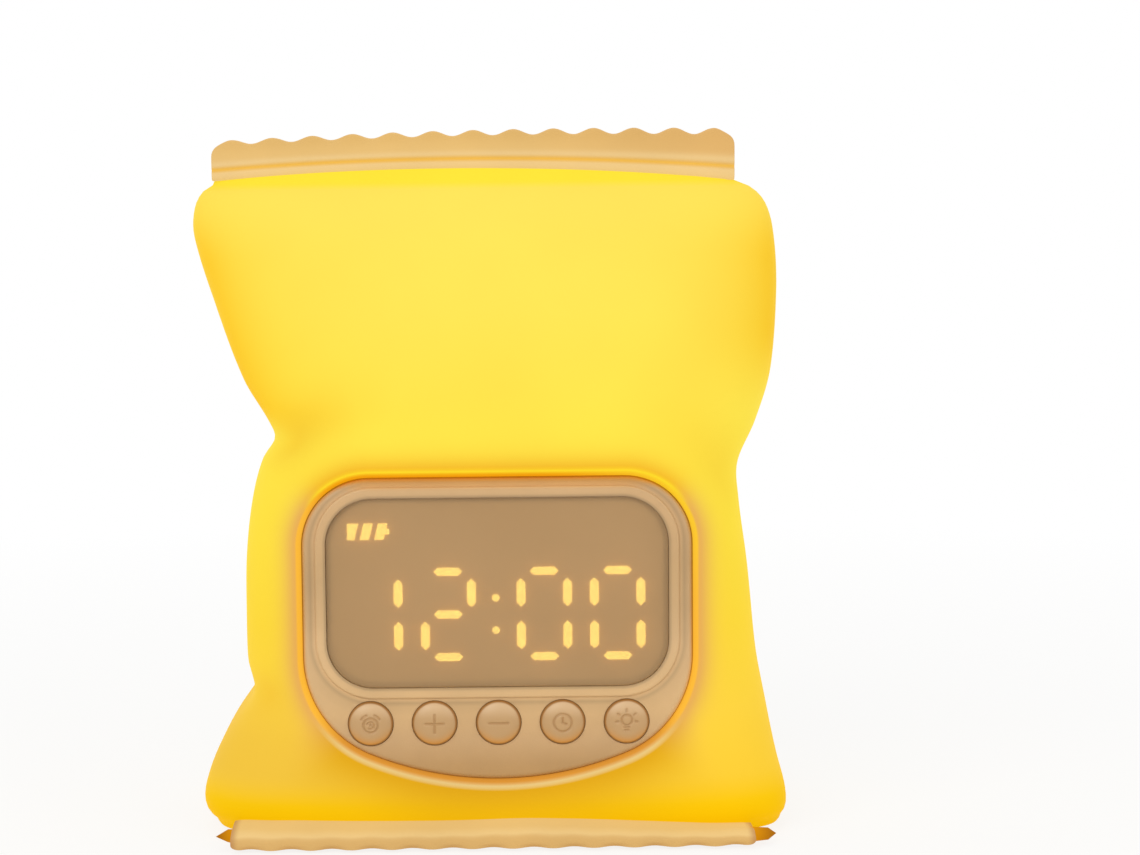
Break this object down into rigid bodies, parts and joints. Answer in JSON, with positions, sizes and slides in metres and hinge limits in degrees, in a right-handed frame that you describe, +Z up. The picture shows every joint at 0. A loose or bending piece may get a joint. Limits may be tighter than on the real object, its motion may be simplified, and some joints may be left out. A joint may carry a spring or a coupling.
{
  "type": "kids alarm clock with night light",
  "caption": "Pillow-shaped silicone bag lamp with crimped top and bottom strips, a lit digital clock face, a row of push buttons and a screwed base with a charging port.",
  "frame": {"origin": "on the table under the middle of the body", "axes": "+Z up, the clock faces -Y, +X is to the right seen from the front"},
  "size_m": [0.1371, 0.0854, 0.1609],
  "materials": {
    "silicone": "translucent warm yellow silicone, satin",
    "strip_plastic": "moulded beige plastic, fine matt",
    "bezel_plastic": "moulded beige plastic, fine matt",
    "lens_acrylic": "tinted diffusing acrylic, satin",
    "lit_segment": "lit warm white segment",
    "display_plastic": "moulded plastic, matt",
    "white_plastic": "moulded white plastic, matt",
    "diffuser_plastic": "frosted white polycarbonate",
    "foot_rubber": "moulded rubber, matt",
    "screw_steel": "zinc plated steel",
    "bracket_steel": "pressed steel",
    "board_green": "glass fibre board with green mask",
    "board_white": "aluminium board with white mask",
    "chip_black": "moulded package, matt",
    "light_chip": "phosphor filled light package",
    "port_steel": "nickel plated steel",
    "cell_sleeve": "shrink sleeve over a steel can",
    "magnet_steel": "nickel plated magnet",
    "cone_paper": "pressed paper, matt",
    "lead_red": "insulated wire",
    "lead_white": "insulated wire"
  },
  "bodies": {
    "root": {"silicone_bag": "silicone", "top_crimp_strip": "strip_plastic", "bottom_crimp_strip": "strip_plastic", "rubber_feet": "foot_rubber", "base_cover": "bezel_plastic", "base_screws": "screw_steel", "base_tray": "white_plastic", "clock_bezel": "bezel_plastic", "display_lens": "lens_acrylic", "display_block": "display_plastic", "display_segments": "lit_segment", "clock_board": "board_green", "clock_board_parts": "chip_black", "switch_cases": "chip_black", "clock_case": "white_plastic", "clock_case_screws": "screw_steel", "clock_bracket": "bracket_steel", "bracket_screws": "screw_steel", "lamp_post": "white_plastic", "post_screws": "screw_steel", "light_board": "board_white", "light_board_screws": "screw_steel", "light_chips": "light_chip", "light_diffuser": "diffuser_plastic", "battery_cell": "cell_sleeve", "battery_clip": "white_plastic", "battery_clip_screw": "screw_steel", "speaker_frame": "magnet_steel", "speaker_cone": "cone_paper", "speaker_magnet": "magnet_steel", "charging_board": "board_green", "charging_board_screws": "screw_steel", "charging_board_parts": "chip_black", "usb_c_shell": "port_steel", "usb_c_tongue": "chip_black", "port_surround": "bezel_plastic", "battery_leads": "lead_red", "light_leads": "lead_white", "clock_leads": "lead_white", "speaker_leads": "lead_red"},
    "alarm_key": {"alarm_button": "bezel_plastic", "alarm_switch_plunger": "white_plastic"},
    "plus_key": {"plus_button": "bezel_plastic", "plus_switch_plunger": "white_plastic"},
    "minus_key": {"minus_button": "bezel_plastic", "minus_switch_plunger": "white_plastic"},
    "clock_key": {"clock_button": "bezel_plastic", "clock_switch_plunger": "white_plastic"},
    "light_key": {"light_button": "bezel_plastic", "light_switch_plunger": "white_plastic"}
  },
  "joints": [
    {"name": "alarm_press", "type": "slide", "parent": "root", "child": "alarm_key", "axis": [0, 1, 0], "range_m": [0, 0.0006], "stiffness_N_per_m": 1500},
    {"name": "plus_press", "type": "slide", "parent": "root", "child": "plus_key", "axis": [0, 1, 0], "range_m": [0, 0.0006], "stiffness_N_per_m": 1500},
    {"name": "minus_press", "type": "slide", "parent": "root", "child": "minus_key", "axis": [0, 1, 0], "range_m": [0, 0.0006], "stiffness_N_per_m": 1500},
    {"name": "clock_press", "type": "slide", "parent": "root", "child": "clock_key", "axis": [0, 1, 0], "range_m": [0, 0.0006], "stiffness_N_per_m": 1500},
    {"name": "light_press", "type": "slide", "parent": "root", "child": "light_key", "axis": [0, 1, 0], "range_m": [0, 0.0006], "stiffness_N_per_m": 1500}
  ]
}
